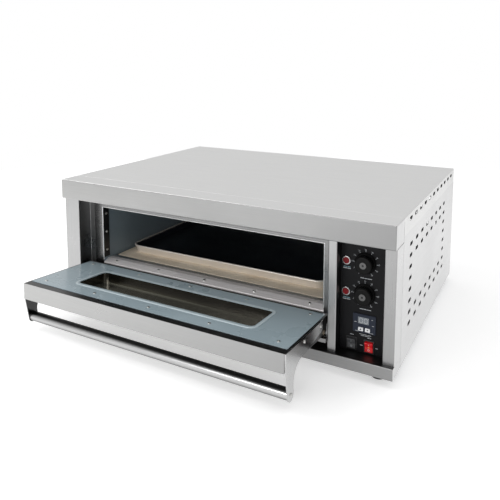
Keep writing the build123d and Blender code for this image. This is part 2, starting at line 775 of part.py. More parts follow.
def build_door_core():
    inside = door_front_y + sheet
    channel = window_block(channel_wall, (inside, door_back_y)) - window_block(0, (0, door_back_y + 5))
    add("window_channel", channel)

    outer_y = (inside + 0.3, inside + 0.3 + glass_thickness)
    inner_y = (outer_y[1] + glass_gap, outer_y[1] + glass_gap + glass_thickness)
    add("window_glass", *[window_block(-glass_clearance, y) for y in (outer_y, inner_y)])
    spacer = window_block(-glass_clearance, (outer_y[1], inner_y[0])) - window_block(-5, (0, door_back_y))
    add("glass_spacer", spacer)

    wool = block(
        (door_left + 18, door_right - 18),
        (inside + insulation_gap, door_back_y - sheet - insulation_gap),
        (door_bottom + 6, door_top - 6),
    )
    wool -= window_block(channel_wall + 0.6, (0, door_back_y + 5))
    for place in panel_screw_places():
        wool -= screw_hole(place, (0, 1, 0), 16)
    add("door_insulation", wool)


# ------------------------------------------------------------------ handle
def bracket_outline():
    """Side plate of the door that runs out to the handle, in Y and Z with the door closed."""
    tip_y = door_front_y - handle_reach
    tip_z = door_top - handle_drop
    tip = (tip_y, tip_z)
    r = bracket_tip_radius
    top = (door_back_y - 0.5, door_top - 1)
    top_out = (door_front_y + 2, door_top - 4)
    upper_edge = atan2(tip_z - top_out[1], tip_y - top_out[0]) - pi / 2
    lower_edge = radians(-69.5)
    upper = (tip_y + r * cos(upper_edge), tip_z + r * sin(upper_edge))
    far = (tip_y - r, tip_z)
    lower = (tip_y + r * cos(lower_edge), tip_z + r * sin(lower_edge))
    root = (door_front_y + 2, door_top - 88)
    heel = (door_back_y - 22, door_bottom + 44)
    heel_top = (door_back_y - 0.5, door_bottom + 40)
    edges = [
        Line(top, top_out),
        Line(top_out, upper),
        ThreePointArc(upper, far, lower),
        TangentArc(lower, root, tangent=(-sin(lower_edge), cos(lower_edge))),
        Line(root, heel),
        Line(heel, heel_top),
        Line(heel_top, top),
    ]
    return make_face(edges), tip


def side_screw_places():
    """Two screws through each bracket into the door's edge: where each stands and where it looks."""
    for _, edge, inward in hinge_sides():
        for rise in edge_screw_rises:
            place = (edge - inward * bracket_thickness, door_back_y - edge_screw_inset, door_bottom + rise)
            yield place, (-inward, 0, 0)


def build_handle():
    face, tip = bracket_outline()
    plates = []
    screws = []
    for _, edge, inward in hinge_sides():
        start = min(edge, edge - inward * bracket_thickness)
        plate = extrude(Plane.YZ.offset(start) * face, bracket_thickness)
        place = (edge - inward * bracket_thickness, *tip)
        plate -= screw_hole(place, (-inward, 0, 0))
        screws.append(screw(place, (-inward, 0, 0), 12))
        plates.append(plate)
    for place, direction in side_screw_places():
        plates = [plate - screw_hole(place, direction) for plate in plates]
        screws.append(screw(place, direction, bracket_thickness + sheet + 2))
    add("handle_brackets", *plates)
    bore_radius = handle_bar_radius - handle_bar_wall
    ends = (door_left, door_right)
    pieces = [rod("X", tip, ends, handle_bar_radius) - rod("X", tip, (ends[0] - 1, ends[1] + 1), bore_radius)]
    for _, edge, inward in hinge_sides():
        plug = rod("X", tip, sorted((edge, edge + inward * 20)), bore_radius)
        pieces.append(plug - screw_hole((edge, *tip), (inward, 0, 0), 60))
    add("handle_bar", *pieces)
    add("handle_screws", *screws)


# ------------------------------------------------------------------ loose baking tray
def build_tray():
    centre = (opening_middle - 3, tray_front + tray_width / 2)
    bottom = opening_floor + tray_lift
    rise = tray_height - tray_bead_radius
    slack = 2 * (tray_bead_radius + tray_height * tan(radians(tray_flare)))
    foot = (tray_length - slack, tray_width - slack)
    base = Pos(centre[0], centre[1], bottom)
    outer = extrude(base * RectangleRounded(*foot, tray_corner), rise, taper=-tray_flare)
    wall = tray_sheet
    cavity_base = Pos(centre[0], centre[1], bottom + wall)
    cavity = extrude(
        cavity_base * RectangleRounded(foot[0] - 2 * wall, foot[1] - 2 * wall, tray_corner - wall),
        rise + 5,
        taper=-tray_flare,
    )
    ring_z = bottom + tray_height - tray_bead_radius
    ring_size = (tray_length - 2 * tray_bead_radius, tray_width - 2 * tray_bead_radius)
    path = (Pos(centre[0], centre[1], ring_z) * RectangleRounded(*ring_size, tray_corner + 4)).wire()
    start = path @ 0
    section = Plane(origin=start, z_dir=path % 0) * Circle(tray_bead_radius)
    bead = sweep(section, path)
    add("baking_tray", outer - cavity + bead)


# ------------------------------------------------------------------ assembly
def build_all():
    build_base()
    build_shell()
    build_gland()
    build_posts()
    build_chamber()
    build_chamber_lamp()
    build_stone()
    build_elements()
    build_insulation()
    build_control_panel()
    build_knobs()
    build_timer()
    build_switches()
    build_wiring()
    build_hinges()
    build_tray()
    fixed = set(parts)
    build_door_skin()
    build_door_panel()
    build_door_core()
    build_handle()
    hinge_line = Axis((0, hinge_y, hinge_z), (1, 0, 0))
    for name in set(parts) - fixed:
        parts[name] = [solid.rotate(hinge_line, 90 - door_rest_lift) for solid in parts[name]]


def main():
    build_all()
    boxes = [solid.bounding_box() for solids in parts.values() for solid in solids]
    shift = -(min(box.min.Y for box in boxes) + max(box.max.Y for box in boxes)) / 2
    os.makedirs("parts", exist_ok=True)
    for name, solids in parts.items():
        moved = [Pos(0, shift, 0) * solid for solid in solids]
        shape = moved[0] if len(moved) == 1 else Compound(children=moved)
        export_step(shape, f"parts/{name}.step")
    print(f"{len(parts)} nodes, moved {shift:.3f} along Y")


main()
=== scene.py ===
"""Looks of the countertop pizza oven: materials, panel printing and small trim, light and camera."""
import math

import bmesh
import bpy
from mathutils import Matrix, Vector


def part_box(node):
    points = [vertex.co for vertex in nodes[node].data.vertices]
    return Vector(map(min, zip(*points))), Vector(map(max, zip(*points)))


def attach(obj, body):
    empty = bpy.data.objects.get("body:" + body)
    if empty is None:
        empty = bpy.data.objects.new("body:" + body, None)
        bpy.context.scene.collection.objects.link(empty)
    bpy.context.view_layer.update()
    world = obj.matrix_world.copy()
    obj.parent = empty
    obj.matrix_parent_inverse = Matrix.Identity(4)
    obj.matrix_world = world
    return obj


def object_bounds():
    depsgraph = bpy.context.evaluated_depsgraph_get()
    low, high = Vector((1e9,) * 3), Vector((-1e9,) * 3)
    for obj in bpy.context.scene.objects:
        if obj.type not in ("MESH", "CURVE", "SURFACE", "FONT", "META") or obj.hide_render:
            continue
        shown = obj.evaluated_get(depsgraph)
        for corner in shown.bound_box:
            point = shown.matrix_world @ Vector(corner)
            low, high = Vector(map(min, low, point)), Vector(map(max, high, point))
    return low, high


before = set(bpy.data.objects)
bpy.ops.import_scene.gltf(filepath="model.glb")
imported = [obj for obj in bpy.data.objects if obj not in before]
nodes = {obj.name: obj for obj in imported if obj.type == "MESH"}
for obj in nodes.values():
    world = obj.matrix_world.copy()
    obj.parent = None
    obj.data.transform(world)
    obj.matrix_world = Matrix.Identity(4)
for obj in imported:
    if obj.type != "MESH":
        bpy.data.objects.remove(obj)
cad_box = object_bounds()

MM = 0.001


# ------------------------------------------------------------------ where things are, from the frame
def corners(node):
    """The lowest and the highest corner of a node's box."""
    low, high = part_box(node)
    return Vector(low), Vector(high)


def middle(node):
    low, high = corners(node)
    return (low + high) / 2


panel_y = corners("control_panel")[0].y
dials = [middle("thermostat_spindle_upper"), middle("thermostat_spindle_lower")]
bezel_low, bezel_high = corners("indicator_bezels")
bezel_radius = (bezel_high.x - bezel_low.x) / 2
lamp_x = (bezel_low.x + bezel_high.x) / 2
timer_low = corners("timer_faceplate")[0]
timer_middle = middle("timer_faceplate")
frame_front = corners("chamber_front_frame")[0].y
sill_low, sill_high = corners("sill_plate")
cover_low, cover_high = corners("top_cover")


# ------------------------------------------------------------------ material building blocks
def grey(value):
    return (value, value, value)


class Shader:
    """One Principled material and the procedural nodes that feed it."""

    def __init__(self, name, color, metallic=0.0, roughness=0.5, **sockets):
        self.material = bpy.data.materials.new(name)
        self.material.use_nodes = True
        self.tree = self.material.node_tree
        self.bsdf = self.tree.nodes["Principled BSDF"]
        self.color = color
        self.set("Base Color", (*color, 1.0))
        self.set("Metallic", metallic)
        self.set("Roughness", roughness)
        for socket, value in sockets.items():
            self.set(socket.replace("_", " "), value)
        coordinates = self.node("ShaderNodeTexCoord")
        self.coordinates = coordinates.outputs["Object"]
        self.normal = coordinates.outputs["Normal"]
        self.heights = []

    def set(self, socket, value):
        self.bsdf.inputs[socket].default_value = value

    def node(self, kind, **values):
        made = self.tree.nodes.new(kind)
        for key, value in values.items():
            if hasattr(made, key):
                setattr(made, key, value)
            else:
                made.inputs[key.replace("_", " ").title()].default_value = value
        return made

    def link(self, source, target):
        self.tree.links.new(source, target)

    def noise(self, scale, stretch=(1, 1, 1), detail=3.0, rough=0.55):
        """Noise in the object's own metres, squeezed along some axes to make a grain."""
        mapping = self.node("ShaderNodeMapping")
        mapping.inputs["Scale"].default_value = stretch
        self.link(self.coordinates, mapping.inputs["Vector"])
        texture = self.node("ShaderNodeTexNoise")
        texture.inputs["Scale"].default_value = scale
        texture.inputs["Detail"].default_value = detail
        texture.inputs["Roughness"].default_value = rough
        self.link(mapping.outputs["Vector"], texture.inputs["Vector"])
        return texture.outputs["Fac"]

    def remap(self, value, low, high, start=0.3, end=0.7):
        ranged = self.node("ShaderNodeMapRange")
        ranged.inputs["From Min"].default_value = start
        ranged.inputs["From Max"].default_value = end
        ranged.inputs["To Min"].default_value = low
        ranged.inputs["To Max"].default_value = high
        self.link(value, ranged.inputs["Value"])
        return ranged.outputs["Result"]

    def blend(self, factor, first, second):
        """Mixes two colours, each a plain colour or another node's output."""
        mix = self.node("ShaderNodeMix", data_type="RGBA")
        self.link(factor, mix.inputs[0])
        for slot, value in ((6, first), (7, second)):
            if hasattr(value, "is_linked"):
                self.link(value, mix.inputs[slot])
            else:
                mix.inputs[slot].default_value = (*value, 1.0)
        return mix.outputs[2]

    def math(self, operation, first, second=None):
        made = self.node("ShaderNodeMath", operation=operation)
        for slot, value in enumerate((first, second)):
            if value is None:
                continue
            if hasattr(value, "is_linked"):
                self.link(value, made.inputs[slot])
            else:
                made.inputs[slot].default_value = value
        return made.outputs[0]

    def split(self, vector):
        """The X, Y and Z of a vector, by name."""
        separate = self.node("ShaderNodeSeparateXYZ")
        self.link(vector, separate.inputs[0])
        return separate.outputs

    def bump(self, height, distance, strength=1.0):
        self.heights.append((height, distance, strength))

    def paint(self, color):
        self.link(color, self.bsdf.inputs["Base Color"])

    def rough(self, value):
        self.link(value, self.bsdf.inputs["Roughness"])

    def tinted(self, factor, amount):
        """The shader's own colour, darker and lighter by the given share."""
        dark = tuple(c * (1 - amount) for c in self.color)
        light = tuple(min(1.0, c * (1 + amount)) for c in self.color)
        return self.blend(factor, dark, light)

    def finish(self):
        normal = None
        for height, distance, strength in self.heights:
            bump = self.node("ShaderNodeBump")
            bump.inputs["Strength"].default_value = strength
            bump.inputs["Distance"].default_value = distance
            self.link(height, bump.inputs["Height"])
            if normal is not None:
                self.link(normal, bump.inputs["Normal"])
            normal = bump.outputs["Normal"]
        if normal is not None:
            self.link(normal, self.bsdf.inputs["Normal"])
        return self.material


GRAIN = {"x": (0.012, 1, 1), "y": (1, 0.012, 1), "z": (1, 1, 0.012)}


def brushed(name, color, grain, roughness=0.3, spread=0.08, streak=0.05, metallic=1.0,
            right=None, upward=None, outward=None, inward=None):
    """Brushed sheet: fine lines along one axis, broad soft clouds in the gloss and faint handling marks.

    The colour runs over to right, the colour at the oven's right end, as painted shade. upward, outward and
    inward
    are painted light and shade: the colours of the faces that look up, away from the oven's middle and
    towards it.
    """
    shader = Shader(name, color, metallic, roughness)
    lines = shader.noise(620.0, GRAIN[grain], 4.0, 0.65)
    clouds = shader.noise(5.0, (1, 1, 1), 4.0)
    smears = shader.noise(22.0, tuple(0.35 if s < 1 else 1 for s in GRAIN[grain]), 3.0)
    paint = shader.tinted(shader.remap(lines, 0.0, 1.0), streak)
    normal = shader.split(shader.normal)
    across = shader.split(shader.coordinates)["X"]
    # painted shade: the colour darkens towards the oven's right end
    if right is not None:
        paint = shader.blend(shader.remap(across, 0.0, 1.0, cad_box[0][0], cad_box[1][0]), paint, right)
    side = shader.math("SIGN", across)
    leaning_out = shader.math("MULTIPLY", normal["X"], side)
    leaning_in = shader.math("MULTIPLY", leaning_out, -1.0)
    # painted light and shade: faces that look up, outwards or inwards take paler or darker painted tones
    for amount, tone in ((normal["Z"], upward), (leaning_out, outward), (leaning_in, inward)):
        if tone is not None:
            paint = shader.blend(shader.remap(amount, 0.0, 1.0, 0.5, 0.8), paint, tone)
    shader.paint(paint)
    cloudy = shader.remap(clouds, roughness - spread, roughness + spread)
    smeared = shader.math("MULTIPLY", shader.remap(smears, 0.94, 1.06), cloudy)
    shader.rough(shader.math("ADD", smeared, shader.remap(lines, -0.015, 0.015)))
    shader.bump(lines, 0.000003, 0.4)
    return shader.finish()


def sheet_metal(name, color, roughness, metallic=1.0, **sockets):
    """Plain mill-finish or zinc-coated sheet, with a faint spangle."""
    shader = Shader(name, color, metallic, roughness, **sockets)
    spangle = shader.noise(160.0, (1, 1, 1), 2.0)
    clouds = shader.noise(9.0, (1, 1, 1), 4.0)
    shader.paint(shader.tinted(shader.remap(spangle, 0.0, 1.0), 0.1))
    shader.rough(shader.remap(clouds, roughness - 0.07, roughness + 0.09))
    shader.bump(spangle, 0.00003, 0.5)
    return shader.finish()


def polished(name, color, roughness=0.12, **sockets):
    shader = Shader(name, color, 1.0, roughness, **sockets)
    wipes = shader.noise(60.0, (0.3, 1, 1), 3.0)
    clouds = shader.noise(12.0, (1, 1, 1), 3.0)
    shader.paint(shader.tinted(clouds, 0.03))
    shader.rough(shader.remap(wipes, roughness * 0.75, roughness * 1.4))
    return shader.finish()


def moulded(name, color, roughness=0.42, grain=900.0, depth=0.00004, **sockets):
    """Moulded plastic or rubber: a fine stipple and slightly uneven gloss."""
    shader = Shader(name, color, 0.0, roughness, **sockets)
    stipple = shader.noise(grain, (1, 1, 1), 2.0)
    clouds = shader.noise(25.0, (1, 1, 1), 3.0)
    shader.paint(shader.tinted(clouds, 0.12))
    shader.rough(shader.remap(clouds, roughness - 0.07, roughness + 0.1))
    shader.bump(stipple, depth, 0.5)
    return shader.finish()


def enamel(name, color, light, roughness=0.3, **sockets):
    """Baked enamel on sheet: orange-peel surface and faint mottling between two shades."""
    shader = Shader(name, color, 0.0, roughness, **sockets)
    mottle = shader.noise(7.0, (1, 1, 1), 5.0)
    peel = shader.noise(420.0, (1, 1, 1), 2.0)
    fleck = shader.noise(1400.0, (1, 1, 1), 1.0)
    base = shader.blend(shader.remap(mottle, 0.0, 1.0), color, light)
    flecks = tuple(c * 1.6 for c in light)
    shader.paint(shader.blend(shader.remap(fleck, 0.0, 0.25, 0.62, 0.75), base, flecks))
    shader.rough(shader.remap(mottle, roughness - 0.04, roughness + 0.1))
    shader.bump(peel, 0.00004, 0.5)
    return shader.finish()


def stone_material():
    shader = Shader("refractory_stone", (0.68, 0.58, 0.44), 0.0, 0.85)
    blotch = shader.noise(14.0, (1, 1, 1), 5.0)
    grains = shader.noise(520.0, (1, 1, 1), 3.0)
    pits = shader.noise(1300.0, (1, 1, 1), 1.0)
    base = shader.blend(shader.remap(blotch, 0.0, 1.0), (0.76, 0.64, 0.49), (0.90, 0.80, 0.66))
    speckled = shader.blend(shader.remap(grains, 0.0, 0.5, 0.45, 0.7), base, (0.80, 0.72, 0.60))
    shader.paint(shader.blend(shader.remap(pits, 0.0, 0.6, 0.64, 0.72), speckled, (0.25, 0.18, 0.12)))
    shader.bump(grains, 0.0004, 0.6)
    shader.bump(pits, 0.0003, 0.4)
    return shader.finish()


def wool_material():
    shader = Shader("mineral_wool", (0.62, 0.56, 0.42), 0.0, 0.95)
    fibres = shader.noise(260.0, (0.15, 1, 1), 5.0)
    crossed = shader.noise(260.0, (1, 1, 0.15), 5.0)
    both = shader.math("ADD", shader.math("MULTIPLY", fibres, 0.5), shader.math("MULTIPLY", crossed, 0.5))
    # painted shade: the wool is painted far darker than its own pale colour, for the dark it lies in
    shader.paint(shader.blend(shader.remap(both, 0.0, 1.0, 0.4, 0.6), (0.22, 0.19, 0.14), (0.40, 0.36, 0.28)))
    shader.bump(both, 0.0015, 0.8)
    return shader.finish()


def glass_material():
    """Tinted oven glass: olive, with long darker and paler bands painted in as reflections, and faint dust.
    """
    shader = Shader("window_glass", (0.30, 0.30, 0.24), 0.5, 0.15, Transmission_Weight=0.3, IOR=1.7)
    dust = shader.noise(90.0, (1, 1, 1), 4.0)
    # painted reflection: long darker and paler bands across the glass
    bands = shader.noise(30.0, (0.03, 1, 1), 2.0)
    tint = shader.blend(shader.remap(bands, 0.0, 1.0, 0.42, 0.58), (0.07, 0.07, 0.055), (0.32, 0.32, 0.26))
    shader.paint(shader.blend(shader.remap(dust, 0.0, 0.2, 0.5, 0.8), tint, (0.36, 0.36, 0.30)))
    shader.rough(shader.remap(dust, 0.13, 0.22))
    return shader.finish()


def lamp_glass_material():
    shader = Shader("lamp_glass", (0.86, 0.86, 0.82), 0.0, 0.25, Transmission_Weight=0.6, IOR=1.45)
    frost = shader.noise(300.0, (1, 1, 1), 3.0)
    shader.rough(shader.remap(frost, 0.18, 0.4))
    shader.paint(shader.tinted(frost, 0.06))
    shader.bump(frost, 0.0001, 0.4)
    return shader.finish()


def lens_material():
    """Red signal lens: faceted inside, so its colour is broken into small cells."""
    red = (0.16, 0.004, 0.008)
    shader = Shader("red_lens", red, 0.0, 0.35, Emission_Strength=0.02, Specular_IOR_Level=0.2)
    shader.set("Emission Color", (0.8, 0.02, 0.03, 1.0))
    cells = shader.node("ShaderNodeTexVoronoi")
    cells.inputs["Scale"].default_value = 620.0
    shader.link(shader.coordinates, cells.inputs["Vector"])
    facets = shader.remap(cells.outputs["Distance"], 0.0, 1.0, 0.0, 0.9)
    shader.paint(shader.blend(facets, (0.24, 0.006, 0.010), (0.08, 0.001, 0.004)))
    shader.bump(cells.outputs["Distance"], 0.0003, 0.5)
    return shader.finish()


def round_mask(shader, centre, radius, edge):
    """1 inside a disc that faces along Y, 0 outside, with a soft edge."""
    flat = shader.node("ShaderNodeVectorMath", operation="MULTIPLY")
    flat.inputs[1].default_value = (1, 0, 1)
    shader.link(shader.coordinates, flat.inputs[0])
    away = shader.node("ShaderNodeVectorMath", operation="DISTANCE")
    away.inputs[1].default_value = (centre.x, 0, centre.z)
    shader.link(flat.outputs[0], away.inputs[0])
    return shader.remap(away.outputs["Value"], 1.0, 0.0, radius - edge, radius + edge)


def rocker_material(name, color, mark, node, dot=None):
    """A moulded rocker with a bar mark above and a ring mark below, and a glowing dot if it is lit."""
    shader = Shader(name, color, 0.0, 0.32, Coat_Weight=0.25)
    stipple = shader.noise(1100.0, (1, 1, 1), 2.0)
    clouds = shader.noise(60.0, (1, 1, 1), 3.0)
    paint = shader.tinted(clouds, 0.15)
    centre = middle(node)
    mark_offset = 6.2 * MM
    place = shader.split(shader.coordinates)
    beside = shader.math("ABSOLUTE", shader.math("SUBTRACT", place["X"], centre.x))
    above = shader.math("ABSOLUTE", shader.math("SUBTRACT", place["Z"], centre.z + mark_offset))
    thin = shader.math("LESS_THAN", beside, 0.45 * MM)
    short = shader.math("LESS_THAN", above, 2.0 * MM)
    paint = shader.blend(shader.math("MULTIPLY", thin, short), paint, mark)
    ring_place = Vector((centre.x, 0, centre.z - mark_offset))
    outer = round_mask(shader, ring_place, 2.1 * MM, 0.1 * MM)
    inner = round_mask(shader, ring_place, 1.4 * MM, 0.1 * MM)
    paint = shader.blend(shader.math("SUBTRACT", outer, inner), paint, mark)
    if dot is not None:
        glow = round_mask(shader, centre, 1.7 * MM, 1.2 * MM)
        paint = shader.blend(glow, paint, dot)
    shader.paint(paint)
    shader.rough(shader.remap(clouds, 0.26, 0.4))
    shader.bump(stipple, 0.00003, 0.4)
    return shader.finish()


def spindle_material(name, centre):
    """Aluminium end disc: a bright turned rim and a darker knurled middle."""
    shader = Shader(name, (0.12, 0.12, 0.12), 1.0, 0.3)
    turned = shader.noise(900.0, (1, 1, 1), 2.0)
    rim = shader.tinted(shader.remap(turned, 0.0, 1.0), 0.06)
    middle_mask = round_mask(shader, centre, 2.4 * MM, 0.3 * MM)
    shader.paint(shader.blend(middle_mask, rim, (0.03, 0.03, 0.03)))
    shader.rough(shader.remap(turned, 0.25, 0.42))
    shader.bump(turned, 0.00004, 0.5)
    return shader.finish()


def inner_panel_material():
    """Blue-grey enamel of the door's inside, with a painted highlight along the raised bead round the window.
    """
    dark, light = (0.315, 0.395, 0.435), (0.355, 0.440, 0.480)
    shader = Shader("enamel_blue_grey", dark, 0.0, 0.26, Coat_Weight=0.3)
    mottle = shader.noise(7.0, (1, 1, 1), 5.0)
    peel = shader.noise(420.0, (1, 1, 1), 2.0)
    base = shader.blend(shader.remap(mottle, 0.0, 1.0), dark, light)
    window_low, window_high = corners("window_glass")
    centre = middle("window_glass")
    place = shader.split(shader.coordinates)
    corner = 12 * MM
    bead_offset = 5.5 * MM
    reaches = []
    for index, axis in enumerate("XY"):
        inner_half = (window_high[index] - window_low[index]) / 2 - corner
        away = shader.math("ABSOLUTE", shader.math("SUBTRACT", place[axis], centre[index]))
        past = shader.math("MAXIMUM", shader.math("SUBTRACT", away, inner_half), 0.0)
        reaches.append(shader.math("MULTIPLY", past, past))
    outside = shader.math("SQRT", shader.math("ADD", *reaches))
    from_crest = shader.math("ABSOLUTE", shader.math("SUBTRACT", outside, corner + bead_offset))
    # painted highlight: the top of the bead is painted paler
    bead_highlight = shader.remap(from_crest, 0.75, 0.0, 1.5 * MM, 4.5 * MM)
    shader.paint(shader.blend(bead_highlight, base, (0.58, 0.66, 0.69)))
    shader.rough(shader.remap(mottle, 0.22, 0.36))
    shader.bump(peel, 0.00004, 0.5)
    return shader.finish()


def bar_material():
    """Polished tube: painted near black along the side that faces the door and greyer in a soft band on the
    other, both painted shade and reflection.
    """
    shader = Shader("stainless_handle", (0.50, 0.50, 0.50), 1.0, 0.3)
    lines = shader.noise(620.0, GRAIN["x"], 3.0)
    facing_up = shader.split(shader.normal)["Z"]
    # painted shade: the underside is painted a greyer band
    below = shader.remap(facing_up, 0.0, 1.0, -0.55, -0.1)
    paint = shader.blend(below, (0.20, 0.20, 0.20), shader.tinted(shader.remap(lines, 0.0, 1.0), 0.02))
    # painted shade and reflection: the side that faces the door is painted near black
    shader.paint(shader.blend(shader.remap(facing_up, 0.0, 1.0, 0.45, 0.75), paint, (0.035, 0.035, 0.035)))
    shader.rough(shader.remap(shader.noise(30.0, (0.2, 1, 1), 3.0), 0.28, 0.36))
    return shader.finish()


def tray_material():
    """Aluminium tray: pale warm metal outside, its warmth partly a painted reflection of the stone, and
    painted near black inside, short of the rolled rim, for the dark chamber it reflects.
    """
    shader = Shader("tray_aluminium", (0.90, 0.84, 0.76), 0.55, 0.34)
    rim = 3.5 * MM
    centre = middle("baking_tray")
    top = corners("baking_tray")[1].z
    lines = shader.noise(620.0, GRAIN["x"], 3.0)
    place = shader.split(shader.coordinates)
    normal = shader.split(shader.normal)
    inwards = []
    for index, axis in enumerate("XY"):
        to_middle = shader.math("SUBTRACT", centre[index], place[axis])
        inwards.append(shader.math("MULTIPLY", normal[axis], to_middle))
    facing_in = shader.math("GREATER_THAN", shader.math("ADD", *inwards), 0.02)
    facing_up = shader.math("GREATER_THAN", normal["Z"], 0.6)
    under_rim = shader.math("LESS_THAN", place["Z"], top - rim)
    # painted reflection: faces looking into the tray or up, below the rim, are painted near black
    painted_dark_inside = shader.math("MULTIPLY", shader.math("MAXIMUM", facing_in, facing_up), under_rim)
    bare = shader.tinted(shader.remap(lines, 0.0, 1.0), 0.05)
    shader.paint(shader.blend(painted_dark_inside, bare, (0.030, 0.036, 0.045)))
    clouds = shader.noise(14.0, (1, 1, 1), 3.0)
    shader.rough(shader.remap(clouds, 0.30, 0.42))
    return shader.finish()


def printed(name, color):
    """Screen-printed ink: nearly flat, slightly patchy and matt."""
    shader = Shader(name, color, 0.0, 0.6)
    patchy = shader.noise(700.0, (1, 1, 1), 3.0)
    shader.paint(shader.blend(shader.remap(patchy, 0.0, 1.0), tuple(c * 0.82 for c in color), color))
    shader.rough(shader.remap(patchy, 0.5, 0.7))
    return shader.finish()


# ------------------------------------------------------------------ materials, one for each finish, and painted lit and shaded copies of the stainless steel
STEEL_TOP = (0.80, 0.80, 0.795)
OUTER = grey(0.68)        # the outside of folded strips, painted paler than their fronts as a painted reflection of the bright side
SHADED = grey(0.07)       # ledges and inner faces that take on the black beside them
# painted light and shade: the stainless steel is one finish, given here in lit and shaded copies. The top
# cover and right side panel are painted paler; the left side panel, posts, divider, base band, lower front
# panel and frame are painted darker. The header and door darken towards the right, and their tops, sides and
# inner faces are painted paler or near black as lit, shaded or reflecting.
steel_header = brushed("stainless_header", (0.45, 0.45, 0.445), "x", 0.34, right=grey(0.27),
                       upward=STEEL_TOP, outward=OUTER)
steel_door = brushed("stainless_front", (0.46, 0.46, 0.455), "x", 0.33, right=grey(0.30), upward=SHADED)
steel_base = brushed("stainless_base", grey(0.29), "x", 0.36, 0.05, upward=SHADED, outward=OUTER)
steel_top = brushed("stainless_top", STEEL_TOP, "x", 0.42, 0.06)
steel_side = brushed("stainless_side", grey(0.75), "y", 0.42, 0.06)
steel_left_side = brushed("stainless_left_side", grey(0.52), "y", 0.42, 0.06)
steel_left_post = brushed("stainless_posts", grey(0.44), "z", 0.30, outward=OUTER, inward=grey(0.13))
steel_right_post = brushed("stainless_right_post", grey(0.33), "z", 0.32, outward=OUTER, inward=SHADED)
steel_divider = brushed("stainless_divider", grey(0.38), "z", 0.28, outward=SHADED, inward=SHADED)
steel_lower = brushed("stainless_lower", grey(0.13), "x", 0.3)
# painted shade: the frame behind the header is painted dark for the header's shadow
steel_frame = brushed("stainless_frame", grey(0.22), "x", 0.26)
steel_bracket = brushed("stainless_brackets", grey(0.52), "z", 0.2, outward=grey(0.58), inward=grey(0.09))
steel_sill = brushed("stainless_sill", (0.78, 0.75, 0.745), "x", 0.42, streak=0.12, metallic=0.45)
galvanised = sheet_metal("galvanised_sheet", (0.50, 0.51, 0.52), 0.42)
# painted shade: the partition inside is painted as a dark copy of the galvanised sheet
dark_zinc = sheet_metal("galvanised_inside", (0.10, 0.10, 0.105), 0.6)
bright = polished("stainless_polished", grey(0.30), 0.16)
chrome = polished("chrome_bezel", (0.36, 0.35, 0.35), 0.2)
# painted highlight: the rolled lip round the mouth is painted near white, a bright line along the opening
lip_steel = polished("lip_steel", grey(0.92), 0.35)
zinc = polished("zinc_screws", (0.66, 0.66, 0.64), 0.26)
brass = polished("hinge_brass", (0.34, 0.29, 0.22), 0.4)
# painted shade: the chamber's floor, ceiling and rear wall are painted near black for the dark deep inside,
# and its side walls are painted paler, a lit copy of the same steel
chamber = enamel("chamber_steel", (0.013, 0.019, 0.023), (0.022, 0.030, 0.036), 0.42)
chamber_side = enamel("chamber_side", (0.205, 0.255, 0.290), (0.250, 0.305, 0.340), 0.36)
channel = brushed("channel_steel", (0.17, 0.16, 0.14), "x", 0.2)
element = sheet_metal("element_sheath", (0.12, 0.11, 0.10), 0.5)
panel_black = moulded("black_panel", (0.007, 0.007, 0.008), 0.42, 1500.0, 0.00001, Specular_IOR_Level=0.12)
black_strip = moulded("black_coated_strip", (0.012, 0.012, 0.013), 0.35)
black_plastic = moulded("black_plastic", (0.014, 0.014, 0.015), 0.45)
knob_plastic = moulded("knob_plastic", (0.005, 0.005, 0.005), 0.42, 700.0, 0.00003, Specular_IOR_Level=0.1)
rubber = moulded("foot_rubber", grey(0.018), 0.7, 500.0, 0.0001)
# painted shade: a near black strip laid in the seam, standing for the shade in the gap
seam_shade = moulded("seam_shade_strip", grey(0.02), 0.8)
insulation_facing = moulded("insulation_facing", grey(0.028), 0.9, 420.0, 0.0003)
timer_navy = moulded("timer_face", (0.013, 0.018, 0.032), 0.4, 1500.0, 0.00001, Specular_IOR_Level=0.25)
button_white = moulded("button_white", (0.72, 0.73, 0.74), 0.4)
rocker_grey = rocker_material("rocker_grey", (0.060, 0.062, 0.066), (0.35, 0.36, 0.37), "light_rocker")
rocker_red = rocker_material("rocker_red", (0.68, 0.010, 0.016), (0.85, 0.70, 0.66), "power_rocker",
                             dot=(0.95, 0.32, 0.08))
ink_white = printed("ink_white", (0.44, 0.46, 0.48))
ink_teal = printed("ink_teal", (0.16, 0.28, 0.32))
ink_dark = printed("ink_dark", (0.03, 0.03, 0.035))
lcd_grey = printed("lcd_backing", (0.20, 0.22, 0.24))

